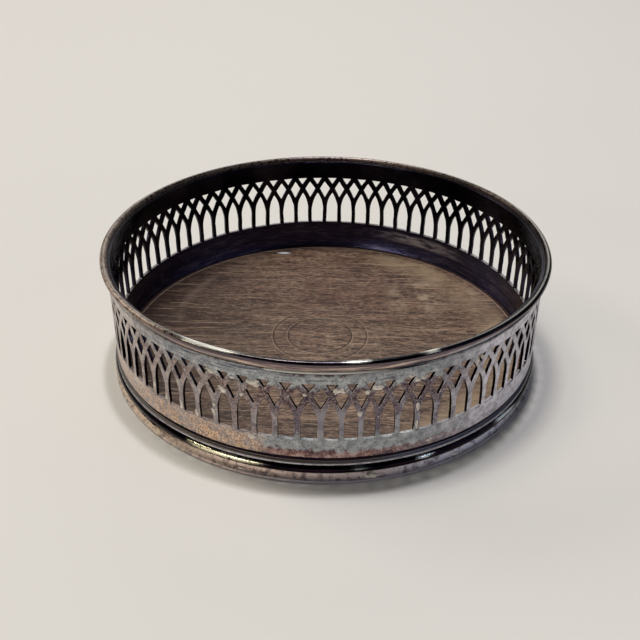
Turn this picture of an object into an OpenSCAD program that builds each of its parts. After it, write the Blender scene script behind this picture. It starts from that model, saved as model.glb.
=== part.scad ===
// Wine bottle coaster: a pierced plated gallery round a turned wooden base.
// The origin is on the table, at the centre of the foot. +Z is up.

/* [Gallery band] */
// Outside diameter of the pierced band
gallery_d = 129.8; // [110:0.1:150]
// Thickness of the band's sheet
sheet_t = 1; // [0.8:0.05:1.4]
// Height of the plain strip below the windows
lower_strip_h = 5.8; // [4:0.1:9]
// Height of the pierced work
pierced_h = 17.5; // [15:0.1:22]
// Height of the plain strip above the pierced work
upper_strip_h = 6.2; // [5.5:0.1:9]
// Rounding of the band's lower outer edge
edge_r = 0.4; // [0.2:0.05:0.6]
// Rounding of the band's top edge
top_edge_r = 0.2; // [0.1:0.05:0.3]

/* [Pierced arcade] */
// Number of posts round the band
post_count = 75; // [61:1:85]
// Width of a post
post_w = 1.4; // [1:0.05:1.8]
// Drop from the head of the pierced work to where two arches cross
crossing_drop = 4.15; // [3.5:0.05:5]
// Width of the metal where two arches cross
crossing_w = 1.8; // [1.4:0.05:2.2]
// Drop from the head to the top of a kite
kite_top_drop = 1.35; // [0.8:0.05:2]
// Drop from the head to the foot of a kite
kite_foot_drop = 7.8; // [7:0.05:9]
// Radius of each side of a lancet's pointed arch
lancet_r = 12; // [8:0.5:20]

/* [Rim] */
// Diameter of the round wire along the top edge
rim_wire_d = 1.8; // [1.2:0.1:2.6]
// Height of the rim wire's centre above the band's top edge
rim_wire_rise = 0.45; // [0:0.05:0.5]
// Height of the half-round fillet wire below the rim
fillet_wire_h = 0.8; // [0.5:0.1:1.2]
// Drop from the band's top edge to the fillet wire's centre
fillet_drop = 2.75; // [2:0.05:4]

/* [Base moulding] */
// How far the foot stands out past the band
foot_out = 1.15; // [0.8:0.05:2]
// Height of the foot's upright edge
foot_edge_h = 0.9; // [0.5:0.1:1.2]
// Rounding of the foot's upright edge
foot_edge_r = 0.2; // [0.1:0.05:0.2]
// Height of the flare above the foot's edge
flare_h = 1.85; // [1.4:0.05:2.4]
// Radius of the half-round roll
roll_r = 1.38; // [1.1:0.02:1.5]
// How far the roll's face is set back from the foot's edge
roll_setback = 0.2; // [0:0.05:0.4]
// Height of the square fillet above the roll
fillet_h = 0.9; // [0.6:0.05:1.2]
// Rounding of the fillet's two arrises
fillet_edge_r = 0.25; // [0.1:0.05:0.25]
// How far the fillet stands out from the neck
fillet_out = 0.85; // [0.5:0.05:1]
// Height of the neck that carries the band
neck_h = 1.4; // [0.8:0.05:2]
// Thickness of the neck's wall
neck_t = 0.55; // [0.4:0.05:0.8]
// Thickness of the flange turned in under the wood
flange_t = 0.7; // [0.5:0.05:1]
// Width of the flange
flange_w = 3.6; // [2.5:0.1:6]

/* [Wood and baize] */
// Thickness of the turned wooden base
wood_t = 2.9; // [2.2:0.1:4]
// Radial clearance of the wood in the moulding
wood_clearance = 0.1; // [0.05:0.05:0.25]
// Rounding of the wood's upper edge
wood_edge_r = 0.3; // [0.1:0.05:0.6]
// Radius of the inner turned ring line
inner_line_r = 10.2; // [6:0.1:14]
// Radius of the outer turned ring line
outer_line_r = 15; // [14.5:0.1:30]
// Width of a turned line
line_w = 0.4; // [0.2:0.05:0.8]
// Thickness of the baize under the wood
baize_t = 0.5; // [0.3:0.05:0.6]
// Gap round the baize inside the flange
baize_gap = 0.25; // [0.1:0.05:1]

/* [Hidden] */
$fn = 150;

// Thickness of the solder under each applied wire
solder_t = 0.05;
// How far a cutter runs past what it cuts
overrun = 1;
// Straight pieces along each side of a lancet's arch
lancet_steps = 5;

gallery_r = gallery_d / 2;
well_r = gallery_r - sheet_t;
foot_r = gallery_r + foot_out;
wood_r = well_r - wood_clearance;

// Heights of the moulding's members, from the table up
roll_z = foot_edge_h + flare_h + roll_r;
fillet_z = roll_z + roll_r;
ledge_z = fillet_z + fillet_h;
gallery_z = ledge_z + neck_h;

// Radii of the moulding's members
neck_r = well_r + neck_t;
fillet_r = neck_r + fillet_out;
roll_centre_r = foot_r - roll_setback - roll_r;

// Levels of the pierced work
sill_z = gallery_z + lower_strip_h;
head_z = sill_z + pierced_h;
gallery_h = lower_strip_h + pierced_h + upper_strip_h;
gallery_top = gallery_z + gallery_h;

// One bay of the arcade, measured along the band's outer face
pitch = PI * gallery_d / post_count;
bay = 360 / post_count;
kite_half = (pitch - crossing_w) / 2;
slope_below = (kite_foot_drop - crossing_drop) / kite_half;
slope_above = (crossing_drop - kite_top_drop) / kite_half;
crossing_rise = (slope_below + slope_above) / 2 * crossing_w / 2;
lancet_half = (pitch - post_w) / 2;
lancet_point = -crossing_drop - crossing_rise;
lancet_rise = sqrt(lancet_r ^ 2 - (lancet_r - lancet_half) ^ 2);

// Half the width of a lancet at a height over its springing
function lancet_side(up) = sqrt(lancet_r ^ 2 - up ^ 2) - lancet_r + lancet_half;

module kite_opening() {
    polygon([
        [0, -kite_top_drop],
        [kite_half, -crossing_drop],
        [0, -kite_foot_drop],
        [-kite_half, -crossing_drop]
    ]);
}

module triangle_opening() {
    foot_drop = crossing_drop - crossing_rise;
    half = foot_drop / slope_above;
    polygon([[-half, 0], [half, 0], [0, -foot_drop]]);
}

module lancet_opening() {
    springing = lancet_point - lancet_rise;
    rises = [for (i = [0 : lancet_steps]) lancet_rise * i / lancet_steps];
    right = [for (up = rises) [lancet_side(up), springing + up]];
    left = [for (i = [lancet_steps - 1 : -1 : 0]) [-right[i].x, right[i].y]];
    polygon(concat([[lancet_half, -pierced_h]], right, left, [[-lancet_half, -pierced_h]]));
}

// Cuts its outline straight through the band, a number of bays round from +Y
module pierce(bays) {
    rotate(bays * bay)
        translate([0, gallery_r + overrun, head_z])
            rotate([90, 0, 0])
                linear_extrude(sheet_t + 2 * overrun)
                    children();
}

// A quarter disc, for rounding an upper right-hand corner
module round_corner(r) {
    intersection() {
        circle(r);
        square(r);
    }
}

// A bar that starts at the axis side, with both its outer corners rounded
module eased_bar(w, h, r) {
    square([w - r, h]);
    translate([w - r, r])
        square([r, h - 2 * r]);
    translate([w - r, h - r])
        round_corner(r);
    translate([w - r, r])
        mirror([0, 1])
            round_corner(r);
}

module band_profile() {
    translate([well_r, gallery_z + edge_r])
        square([sheet_t, gallery_h - edge_r - top_edge_r]);
    translate([well_r, gallery_z])
        square([sheet_t - edge_r, edge_r]);
    translate([gallery_r - edge_r, gallery_z + edge_r])
        mirror([0, 1])
            round_corner(edge_r);
    translate([well_r + top_edge_r, gallery_top - top_edge_r])
        square([sheet_t - 2 * top_edge_r, top_edge_r]);
    translate([gallery_r - top_edge_r, gallery_top - top_edge_r])
        round_corner(top_edge_r);
    translate([well_r + top_edge_r, gallery_top - top_edge_r])
        mirror([1, 0])
            round_corner(top_edge_r);
}

module gallery_band() {
    color("slategray")
        difference() {
            rotate_extrude()
                band_profile();
            for (i = [0 : post_count - 1]) {
                pierce(i)
                    kite_opening();
                pierce(i + 0.5)
                    triangle_opening();
                pierce(i + 0.5)
                    lancet_opening();
            }
        }
}

module rim_wire() {
    wire_r = rim_wire_d / 2;
    color("silver")
        rotate_extrude()
            translate([gallery_r + solder_t + wire_r, gallery_top + rim_wire_rise])
                circle(wire_r);
}

module fillet_wire() {
    wire_r = fillet_wire_h / 2;
    color("rosybrown")
        rotate_extrude()
            translate([gallery_r + solder_t, gallery_top - fillet_drop])
                intersection() {
                    circle(wire_r);
                    translate([0, -wire_r])
                        square([wire_r, fillet_wire_h]);
                }
}

// The foot's upright edge, with the flare that sweeps up under the roll
module foot_profile() {
    flare_top = foot_edge_h + flare_h;
    flare_out = foot_r - roll_centre_r;
    translate([well_r, 0])
        eased_bar(foot_r - well_r, foot_edge_h, foot_edge_r);
    difference() {
        translate([well_r, foot_edge_h])
            square([foot_r - well_r, flare_h]);
        translate([foot_r, flare_top])
            scale([flare_out / flare_h, 1])
                circle(flare_h);
    }
}

module base_moulding() {
    color("dimgray")
        rotate_extrude() {
            translate([well_r - flange_w, 0])
                square([flange_w + neck_t, flange_t]);
            foot_profile();
            translate([roll_centre_r, roll_z])
                intersection() {
                    circle(roll_r);
                    translate([0, -roll_r])
                        square([roll_r, 2 * roll_r]);
                }
            translate([well_r, flange_t])
                square([roll_centre_r - well_r, fillet_z - flange_t]);
            translate([well_r, fillet_z])
                eased_bar(fillet_r - well_r, fillet_h, fillet_edge_r);
            translate([well_r, fillet_z])
                square([neck_t, fillet_h + neck_h]);
        }
}

module turned_line(r) {
    translate([0, 0, flange_t + wood_t])
        rotate_extrude()
            translate([r, 0])
                circle(line_w / 2);
}

module wood_base() {
    color("sienna")
        difference() {
            rotate_extrude() {
                translate([0, flange_t])
                    square([wood_r, wood_t - wood_edge_r]);
                translate([0, flange_t + wood_t - wood_edge_r])
                    square([wood_r - wood_edge_r, wood_edge_r]);
                translate([wood_r - wood_edge_r, flange_t + wood_t - wood_edge_r])
                    round_corner(wood_edge_r);
            }
            turned_line(inner_line_r);
            turned_line(outer_line_r);
        }
}

module baize_pad() {
    color("darkolivegreen")
        translate([0, 0, flange_t - baize_t])
            cylinder(h = baize_t, r = well_r - flange_w - baize_gap);
}

gallery_band();
rim_wire();
fillet_wire();
base_moulding();
wood_base();
baize_pad();
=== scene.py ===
"""Wine bottle coaster: a pierced plated gallery on a turned wooden base, dressed for its photograph."""
import math

import bmesh
import bpy
import numpy as np
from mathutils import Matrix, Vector, noise
from mathutils.geometry import delaunay_2d_cdt


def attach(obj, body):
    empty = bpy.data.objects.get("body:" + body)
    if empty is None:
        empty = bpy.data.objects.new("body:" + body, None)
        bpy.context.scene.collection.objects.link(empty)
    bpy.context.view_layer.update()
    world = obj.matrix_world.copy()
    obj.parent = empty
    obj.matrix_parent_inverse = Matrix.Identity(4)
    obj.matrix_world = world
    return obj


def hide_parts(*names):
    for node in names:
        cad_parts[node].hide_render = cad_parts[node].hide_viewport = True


MM = 0.001
FULL_TURN = 2 * math.pi

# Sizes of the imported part, in millimetres
BAND_R = 64.9
SHEET = 1.0
BAND_FOOT = 7.81
LOWER_STRIP = 5.8
PIERCED = 17.5
UPPER_STRIP = 6.2
POSTS = 75
POST_W = 1.4
CROSSING_DROP = 4.15
CROSSING_W = 1.8
KITE_TOP_DROP = 1.35
KITE_FOOT_DROP = 7.8
LANCET_R = 12.0
RIM_R = 0.9
RIM_RISE = 0.45
FILLET_WIRE_R = 0.4
FILLET_DROP = 2.75
WELL_R = BAND_R - SHEET
FOOT_R = 66.05
FOOT_EDGE = 0.9
FLARE = 1.85
ROLL_R = 1.38
ROLL_CENTRE_R = 64.47
FILLET_H = 0.9
FILLET_R = 65.3
NECK_R = 64.45
FLANGE_T = 0.7
FLANGE_W = 3.6
WOOD_R = 63.8
WOOD_T = 2.9
LINE_RADII = (10.2, 15.0)
LINE_W = 0.4
# The two lines were struck a little off the middle of the disc
LINES_OFF = (-1.5, 0.6)
BAIZE_R = 60.05
BAIZE_FOOT = 0.2

SILL = BAND_FOOT + LOWER_STRIP
HEAD = SILL + PIERCED
BAND_TOP = HEAD + UPPER_STRIP
PITCH = FULL_TURN * BAND_R / POSTS
ROLL_Z = FOOT_EDGE + FLARE + ROLL_R
FILLET_Z = ROLL_Z + ROLL_R
WOOD_TOP = FLANGE_T + WOOD_T
TALLEST = 40.0
# Solder under the wires, and the small radii of the edges, in millimetres
SOLDER = 0.05
FOOT_EDGE_R = 0.2
FOOT_TOP_R = 0.12
FILLET_EDGE_R = 0.25
COVE_R = 0.15
WOOD_EDGE_R = 0.3
BAIZE_EDGE_R = 0.2

# The photographer's standpoint, found by fitting the rings of the part to the picture
EYE = (-1.955, -244.376, 160.705)
EYE_TURN = (58.2703, -0.403, 0.1427)
LENS = 50.822


def linear(code):
    """A hex colour, as a paint chart gives it, turned to the renderer's linear values."""
    parts = [int(code[i:i + 2], 16) / 255 for i in (1, 3, 5)]
    return tuple(c / 12.92 if c <= 0.04045 else ((c + 0.055) / 1.055) ** 2.4 for c in parts) + (1.0,)


def set_camera():
    camera = bpy.data.objects.new("camera", bpy.data.cameras.new("camera"))
    bpy.context.scene.collection.objects.link(camera)
    camera.data.lens = LENS
    camera.data.sensor_width = 36
    camera.data.clip_start = 0.01
    camera.location = [c * MM for c in EYE]
    camera.rotation_euler = [math.radians(a) for a in EYE_TURN]
    bpy.context.scene.camera = camera


# ---- Shaping ----

# Points closer than this, in millimetres, are one point
SAME_POINT = 0.0005
# Steps round the axis, for the metal rings and for the discs of wood and baize
RING_STEPS = 400
DISC_STEPS = 240
# A file leaves a corner flatter than this alone, and takes at most this share of a side
NEARLY_STRAIGHT = math.radians(80)
MOST_FILED = 0.4
FILED_STEPS = 4
# How far the metal has been moved, and the distance over which that changes, in millimetres
BAND_DENTS = (0.14, 14.0)
RIM_DENTS = (0.1, 14.0)
MOULDING_DENTS = (0.05, 11.0)
POST_DENTS = (0.05, 2.6)
POST_LEAN = (0.22, 5.5)
POST_BEND = (0.1, 2.1)
POST_LIFT = (0.18, 4.0)
BAIZE_CUT = (0.15, 1.3)


def unevenness(p, size, wave):
    """How far handling has pushed the metal in or out at a point, in millimetres."""
    return size * noise.noise(Vector(p) / wave)


def make_piece(name, points, faces, finishes, finish_of=None):
    """A mesh piece from points in millimetres, riding on the coaster."""
    mesh = bpy.data.meshes.new(name)
    mesh.from_pydata([tuple(c * MM for c in p) for p in points], [], faces)
    if finish_of is not None:
        mesh.polygons.foreach_set("material_index", finish_of)
    work = bmesh.new()
    work.from_mesh(mesh)
    bmesh.ops.remove_doubles(work, verts=work.verts, dist=SAME_POINT * MM)
    for face in work.faces:
        face.smooth = True
    work.to_mesh(mesh)
    work.free()
    piece = bpy.data.objects.new(name, mesh)
    bpy.context.scene.collection.objects.link(piece)
    for finish in finishes:
        mesh.materials.append(finish)
    evened = piece.modifiers.new("evened shading", "WEIGHTED_NORMAL")
    evened.keep_sharp = True
    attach(piece, "root")
    return piece


def turned(profile, steps, finish_at=None, dents=None, closed=True):
    """Points and faces of a profile, listed outward face first from the foot up, spun about the axis."""
    count = len(profile)
    points, faces, finish_of = [], [], []
    for i in range(steps):
        around = FULL_TURN * i / steps
        for r, z in profile:
            p = (r * math.sin(around), -r * math.cos(around), z)
            if dents is not None:
                push = unevenness(p, *dents)
                p = (p[0] * (1 + push / r), p[1] * (1 + push / r), p[2] + push / 3)
            points.append(p)
    spans = count if closed else count - 1
    for i in range(steps):
        here, there = i * count, (i + 1) % steps * count
        for k in range(spans):
            nxt = (k + 1) % count
            faces.append((here + k, there + k, there + nxt, here + nxt))
            finish_of.append(finish_at[k] if finish_at else 0)
    return points, faces, finish_of


def arc(centre, radius, start, end, steps):
    """Points along an arc in a profile; angles in degrees, radius one number or two."""
    across, up = radius if isinstance(radius, tuple) else (radius, radius)
    angles = np.radians(np.linspace(start, end, steps + 1))
    return [(centre[0] + across * math.cos(a), centre[1] + up * math.sin(a)) for a in angles]


def softened(outline, radius):
    """The outline with each real corner filed to a small curve, as a piercing file leaves it."""
    made = []
    count = len(outline)
    for i, corner in enumerate(outline):
        corner = np.array(corner)
        before = np.array(outline[i - 1]) - corner
        after = np.array(outline[(i + 1) % count]) - corner
        reach_before, reach_after = np.linalg.norm(before), np.linalg.norm(after)
        before, after = before / reach_before, after / reach_after
        half = math.acos(max(-1, min(1, float(before @ after)))) / 2
        if half > NEARLY_STRAIGHT:
            made.append(corner)
            continue
        reach = min(radius / math.tan(half), reach_before * MOST_FILED, reach_after * MOST_FILED)
        first, last = corner + before * reach, corner + after * reach
        for t in np.linspace(0, 1, FILED_STEPS + 1):
            made.append((1 - t) ** 2 * first + 2 * t * (1 - t) * corner + t * t * last)
    return np.array(made)


def spread(outline, distance):
    """The outline grown outward into the metal by a distance."""
    before = outline - np.roll(outline, 1, 0)
    after = np.roll(outline, -1, 0) - outline
    sides = []
    for way in (before, after):
        side = np.stack([way[:, 1], -way[:, 0]], 1)
        sides.append(side / np.linalg.norm(side, axis=1)[:, None])
    mitre = (sides[0] + sides[1]) / (1 + (sides[0] * sides[1]).sum(1))[:, None]
    return outline + distance * mitre


def divided(a, b, steps):
    return [tuple(np.array(a) + (np.array(b) - np.array(a)) * i / steps) for i in range(steps)]


# ---- The pierced arcade ----

KITE_HALF = (PITCH - CROSSING_W) / 2
SLOPE_BELOW = (KITE_FOOT_DROP - CROSSING_DROP) / KITE_HALF
SLOPE_ABOVE = (CROSSING_DROP - KITE_TOP_DROP) / KITE_HALF
CROSSING_RISE = (SLOPE_BELOW + SLOPE_ABOVE) / 2 * CROSSING_W / 2
LANCET_HALF = (PITCH - POST_W) / 2
LANCET_RISE = math.sqrt(LANCET_R ** 2 - (LANCET_R - LANCET_HALF) ** 2)
ARRIS = 0.13
CORNER_R = 0.12
EDGE_R = 0.2
# The lancets' sills, up to this far above them, take the lighter outside finish so that they show lit from the
# ceiling lamps: painted light
LIT_SILL_REACH = 0.25
# Steps along the sides of the openings
KITE_STEPS = 4
TRIANGLE_STEPS = 3
ARCH_STEPS = 8
JAMB_STEPS = 5
SILL_STEPS = 4
# The flat faces are made of points in rows and columns, kept this clear of the openings
ROWS = 36
COLUMNS = 7
CLEAR = 0.3
SLACK = 1e-7
# The gallery's finishes, and the moulding's
OUTSIDE, INSIDE, RUBBED = 0, 1, 2


def straight_sided(corners, steps):
    """An opening with straight sides, each in steps, and with its corners filed."""
    outline = []
    for a, b in zip(corners, corners[1:] + corners[:1]):
        outline += divided(a, b, steps)
    return softened(outline, CORNER_R)


def kite_outline():
    right, left = (KITE_HALF, -CROSSING_DROP), (-KITE_HALF, -CROSSING_DROP)
    return straight_sided([(0, -KITE_FOOT_DROP), right, (0, -KITE_TOP_DROP), left], KITE_STEPS)


def triangle_outline():
    foot = CROSSING_DROP - CROSSING_RISE
    half = foot / SLOPE_ABOVE
    return straight_sided([(0, -foot), (half, 0), (-half, 0)], TRIANGLE_STEPS)


def lancet_outline():
    point = -CROSSING_DROP - CROSSING_RISE
    springing = point - LANCET_RISE
    rises = np.linspace(0, LANCET_RISE, ARCH_STEPS + 1)
    side = [math.sqrt(LANCET_R ** 2 - up ** 2) - LANCET_R + LANCET_HALF for up in rises]
    right = [(half, springing + up) for half, up in zip(side, rises)]
    left = [(-half, drop) for half, drop in right[-2::-1]]
    foot = divided((-LANCET_HALF, -PIERCED), (LANCET_HALF, -PIERCED), SILL_STEPS)
    rise_right = divided((LANCET_HALF, -PIERCED), right[0], JAMB_STEPS)
    fall_left = divided(left[-1], (-LANCET_HALF, -PIERCED), JAMB_STEPS)
    return softened(foot + rise_right + right + left[:-1] + fall_left, CORNER_R)


def levels(outline):
    """The rings of one opening from the band's outer face, through the wall, to its inner face."""
    eased = [(ARRIS * (1 - math.sin(a)), ARRIS * (1 - math.cos(a))) for a in np.radians((0, 45, 90))]
    outer = [(spread(outline, out), depth) for out, depth in eased]
    inner = [(spread(outline, out), SHEET - depth) for out, depth in eased[::-1]]
    return outer + inner


def inside(p, outline):
    """Whether a point lies in an outline that is convex and runs anticlockwise."""
    side = np.roll(outline, -1, 0) - outline
    cross = side[:, 0] * (p[1] - outline[:, 1]) - side[:, 1] * (p[0] - outline[:, 0])
    return bool((cross > -SLACK).all())


def arcade_bay():
    """One bay of the band, laid flat, from post to post: points (along, up, depth), faces and finishes."""
    half = PITCH / 2
    closed = [levels(triangle_outline()), levels(lancet_outline())]
    kite = levels(kite_outline())
    kite_ring = kite[0][0]
    on_axis = np.abs(kite_ring[:, 0]) < SLACK
    halves = []
    for side in (-1, 1):
        kept = [k for k in range(len(kite_ring)) if on_axis[k] or kite_ring[k, 0] * side < 0]
        # the chain starts at one of the two points on the post's centre line
        ends = [k for k in kept if on_axis[k]]
        start = ends[0] if side < 0 else ends[1]
        chain = [k for k in kept if k >= start] + [k for k in kept if k < start]
        halves.append([(ring[chain] + np.array([side * half, 0]), depth) for ring, depth in kite])
    top, bottom = UPPER_STRIP - EDGE_R, -PIERCED - LOWER_STRIP + EDGE_R
    flat, edges, index = [], [], {}

    def place(p):
        key = (round(float(p[0]), 5), round(float(p[1]), 5))
        if key not in index:
            index[key] = len(flat)
            flat.append((float(p[0]), float(p[1])))
        return index[key]

    def draw(line, close=False):
        ids = [place(p) for p in line]
        edges.extend(zip(ids, ids[1:] + ids[:close]))
        return ids

    face_rings = [draw(rings[0][0], True) for rings in closed] + [draw(rings[0][0]) for rings in halves]
    across = np.linspace(-half, half, COLUMNS)
    top_ids = [place((u, top)) for u in across]
    bottom_ids = [place((u, bottom)) for u in across]
    foot, crown = kite_ring[:, 1].min(), kite_ring[:, 1].max()
    rows = np.linspace(bottom, top, ROWS)[1:-1]
    for side in (-1, 1):
        draw([(side * half, r) for r in (bottom, *rows[rows < foot - CLEAR], foot)])
        draw([(side * half, r) for r in (crown, *rows[rows > crown + CLEAR], top)])
    for ids in (top_ids, bottom_ids):
        edges.extend(zip(ids, ids[1:]))
    openings = [rings[0][0] for rings in closed] + [kite_ring + np.array([s * half, 0]) for s in (-1, 1)]
    clear = [spread(o, CLEAR) for o in openings]
    for n, row in enumerate(rows):
        for u in across[1:-1] if n % 2 else (across[:-1] + across[1:]) / 2:
            if not any(inside((u, row), o) for o in clear):
                place((u, row))
    result = delaunay_2d_cdt([Vector(p) for p in flat], edges, [], 0, SLACK, True)
    made, triangles, came_from = result[0], result[2], result[3]
    where = {old: new for new, olds in enumerate(came_from) for old in olds}
    plate = []
    for face in triangles:
        middle = sum((made[i] for i in face), Vector((0, 0))) / len(face)
        if not any(inside(middle, o) for o in openings):
            plate.append(tuple(face))
    count = len(made)
    points = [(p.x, p.y, 0.0) for p in made] + [(p.x, p.y, SHEET) for p in made]
    faces = plate + [tuple(i + count for i in face[::-1]) for face in plate]
    finish_of = [OUTSIDE] * len(plate) + [INSIDE] * len(plate)

    def wall(ids, chains, on_sill, close=False, outward=True):
        """Faces from the outer face's points, by chains of points, to the inner face's."""
        lines = [[where[i] for i in ids]]
        for chain in chains:
            lines.append(list(range(len(points), len(points) + len(ids))))
            points.extend(chain)
        lines.append([where[i] + count for i in ids])
        for level, (near, far) in enumerate(zip(lines, lines[1:])):
            for k in range(len(ids) - (not close)):
                nxt = (k + 1) % len(ids)
                quad = (near[k], near[nxt], far[nxt], far[k])
                faces.append(quad if outward else quad[::-1])
                # painted light: the sills of the lancets face the ceiling lamps and take the lighter outside
                # finish, and only the other cut edges keep the dark film
                lit_sill = on_sill[k] and on_sill[nxt]
                finish_of.append(RUBBED if level < 2 else OUTSIDE if lit_sill else INSIDE)

    for n, (rings, ids) in enumerate(zip(closed + halves, face_rings)):
        chains = [[(float(u), float(up), depth) for u, up in ring] for ring, depth in rings[1:-1]]
        wall(ids, chains, rings[0][0][:, 1] < LIT_SILL_REACH - PIERCED, close=n < len(closed))
    eased = [(EDGE_R * math.sin(a), EDGE_R - EDGE_R * math.cos(a)) for a in np.radians((45, 90))]
    crest = [(top + up, depth) for up, depth in eased]
    crest += [(up, SHEET - depth) for up, depth in crest[::-1]]
    hem = [(bottom - down, depth) for down, depth in eased] + [(bottom - EDGE_R, SHEET)]
    for ids, heights, outward in ((top_ids, crest, True), (bottom_ids, hem, False)):
        chains = [[(float(u), up, depth) for u in across] for up, depth in heights]
        wall(ids, chains, [False] * len(ids), outward=outward)
    return points, faces, finish_of


# How far the pierced work strays to the right round the ring, in mm, by degrees to the right of the front:
# it was laid out by eye, with the bays wide just left of the front and narrow just right of it
STRAY = (
    (-180, 0.0), (-50, 0.0), (-34, 0.12), (-29, 0.25), (-25, 0.47), (-16, 0.52), (-11, 0.68),
    (-6.5, 0.92), (-1.6, 1.6), (2.8, 1.27), (7.3, 0.82), (11.4, -0.14), (15.8, -0.31), (20.3, -0.45),
    (25, -0.24), (31, -0.13), (38, 0.0), (180, 0.0),
)


def gallery(finishes):
    bay, bay_faces, bay_finish = arcade_bay()
    points, faces, finish_of = [], [], []
    for i in range(POSTS):
        start = len(points)
        for along, up, depth in bay:
            around = (along + (i + 0.5) * PITCH) / BAND_R
            r = BAND_R - depth
            p = (-r * math.sin(around), r * math.cos(around), HEAD + up)
            # the piercing was cut by hand, and the posts have been knocked about since
            pierced = max(0.0, min(1.0, (HEAD + 1 - p[2]) / 2, (p[2] - SILL + 1) / 2))
            lean = unevenness(p, *POST_LEAN) + unevenness(p, *POST_BEND)
            lift = unevenness((p[1], p[2], p[0]), *POST_LIFT)
            front = math.degrees(math.remainder(around - math.pi, FULL_TURN))
            stray = float(np.interp(front, *zip(*STRAY)))
            around += (lean * pierced + stray) / BAND_R
            r += unevenness(p, *BAND_DENTS) + pierced * unevenness(p, *POST_DENTS)
            points.append((-r * math.sin(around), r * math.cos(around), p[2] + lift * pierced))
        faces += [tuple(k + start for k in face) for face in bay_faces]
        finish_of += bay_finish
    piece = make_piece("pierced_gallery", points, faces, finishes, finish_of)
    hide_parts("gallery_band")


# ---- Wires, moulding, wood and baize ----

def rim(finish):
    centre = (BAND_R + SOLDER + RIM_R, BAND_TOP + RIM_RISE)
    profile = arc(centre, RIM_R, -150, 150, 20)
    # solder fills the nip between the wire and the band
    seat_r, solder_top, solder_foot = BAND_R - 0.02, centre[1] + 0.35, centre[1] - 0.6
    profile += [(seat_r, solder_top), (seat_r, solder_foot)]
    points, faces, _ = turned(profile, RING_STEPS, dents=RIM_DENTS)
    piece = make_piece("rim_wire_soldered", points, faces, [finish])
    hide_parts("rim_wire")


def fillet_bead(finish):
    centre = (BAND_R, BAND_TOP - FILLET_DROP)
    seat_r = BAND_R - 0.1
    profile = arc(centre, FILLET_WIRE_R, -90, 90, 10) + [(seat_r, centre[1])]
    points, faces, _ = turned(profile, RING_STEPS, dents=BAND_DENTS)
    piece = make_piece("half_round_bead", points, faces, [finish])
    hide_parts("fillet_wire")


def moulding(finishes):
    ledge = FILLET_Z + FILLET_H
    profile = [(WELL_R - FLANGE_W, 0.0), (WELL_R, 0.0)]
    profile += arc((FOOT_R - FOOT_EDGE_R, FOOT_EDGE_R), FOOT_EDGE_R, -90, 0, 4)
    profile += arc((FOOT_R - FOOT_TOP_R, FOOT_EDGE - FOOT_TOP_R), FOOT_TOP_R, 0, 80, 3)
    profile += arc((FOOT_R, FOOT_EDGE + FLARE), (FOOT_R - ROLL_CENTRE_R, FLARE), -100, -178, 10)
    profile += arc((ROLL_CENTRE_R, ROLL_Z), ROLL_R, -72, 80, 16)
    profile += arc((FILLET_R - FILLET_EDGE_R, FILLET_Z + FILLET_EDGE_R), FILLET_EDGE_R, -70, 0, 4)
    profile += arc((FILLET_R - FILLET_EDGE_R, ledge - FILLET_EDGE_R), FILLET_EDGE_R, 0, 90, 4)
    profile += arc((NECK_R + COVE_R, ledge + COVE_R), COVE_R, -90, -180, 3)
    profile += [(NECK_R, BAND_FOOT), (WELL_R, BAND_FOOT), (WELL_R, FLANGE_T), (WELL_R - FLANGE_W, FLANGE_T)]
    # its well, and the flange turned in under the wood, carry the same dark film as the band's inside
    finish_at = [OUTSIDE] * (len(profile) - 3) + [INSIDE] * 3
    points, faces, finish_of = turned(profile, RING_STEPS, finish_at, dents=MOULDING_DENTS)
    # the foot stands flat, so no dent takes it below the table
    lowest = 0.02
    points = [(x, y, max(z, lowest)) for x, y, z in points]
    piece = make_piece("turned_moulding", points, faces, finishes, finish_of)
    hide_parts("base_moulding")


def wooden_base(finish):
    step, smallest, groove_depth = 2.2, 0.3, LINE_W * 0.4
    top = []
    edge = WOOD_R
    for radius in sorted(LINE_RADII, reverse=True):
        while edge - step > radius + LINE_W:
            edge -= step
            top.append((edge, WOOD_TOP))
        top += arc((radius, WOOD_TOP), (LINE_W / 2, -groove_depth), 0, 180, 6)
        edge = radius - LINE_W / 2
    while edge > step:
        edge -= step
        if edge > smallest:
            top.append((edge, WOOD_TOP))
    halfway = 30.0
    profile = [(0.0, FLANGE_T), (halfway, FLANGE_T), (WOOD_R, FLANGE_T)]
    profile += arc((WOOD_R - WOOD_EDGE_R, WOOD_TOP - WOOD_EDGE_R), WOOD_EDGE_R, 0, 90, 4)
    points, faces, _ = turned(profile + top + [(0.0, WOOD_TOP)], DISC_STEPS, closed=False)
    # the middle of the disc takes the lines with it, and the rest is left where it is
    moved_r, still_r = 20.0, 50.0
    shifted = []
    for x, y, z in points:
        share = max(0.0, min(1.0, (still_r - math.hypot(x, y)) / (still_r - moved_r)))
        shifted.append((x + LINES_OFF[0] * share, y + LINES_OFF[1] * share, z))
    piece = make_piece("turned_wooden_base", shifted, faces, [finish])
    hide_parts("wood_base")


def baize(finish):
    """Wool baize, cut round by hand and glued under the wood."""
    middle_r, edge_z, glue, trimmed, cut_in = 4, BAIZE_FOOT + 0.22, 0.02, 0.1, 2
    profile = [(0.0, BAIZE_FOOT)]
    profile += [(r, BAIZE_FOOT) for r in np.linspace(middle_r, BAIZE_R - 2 * BAIZE_EDGE_R, 26)]
    profile += arc((BAIZE_R - BAIZE_EDGE_R, edge_z), BAIZE_EDGE_R, -90, 90, 4) + [(0.0, FLANGE_T - glue)]
    points, faces, _ = turned(profile, DISC_STEPS, closed=False)
    cut = []
    for p in points:
        r = math.hypot(p[0], p[1])
        share = max(0.0, (r - BAIZE_R + cut_in) / cut_in)
        grow = 1 + (unevenness(p, *BAIZE_CUT) - trimmed) * share / max(r, 1)
        cut.append((p[0] * grow, p[1] * grow, p[2]))
    piece = make_piece("baize_disc", cut, faces, [finish])
    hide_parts("baize_pad")


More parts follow.
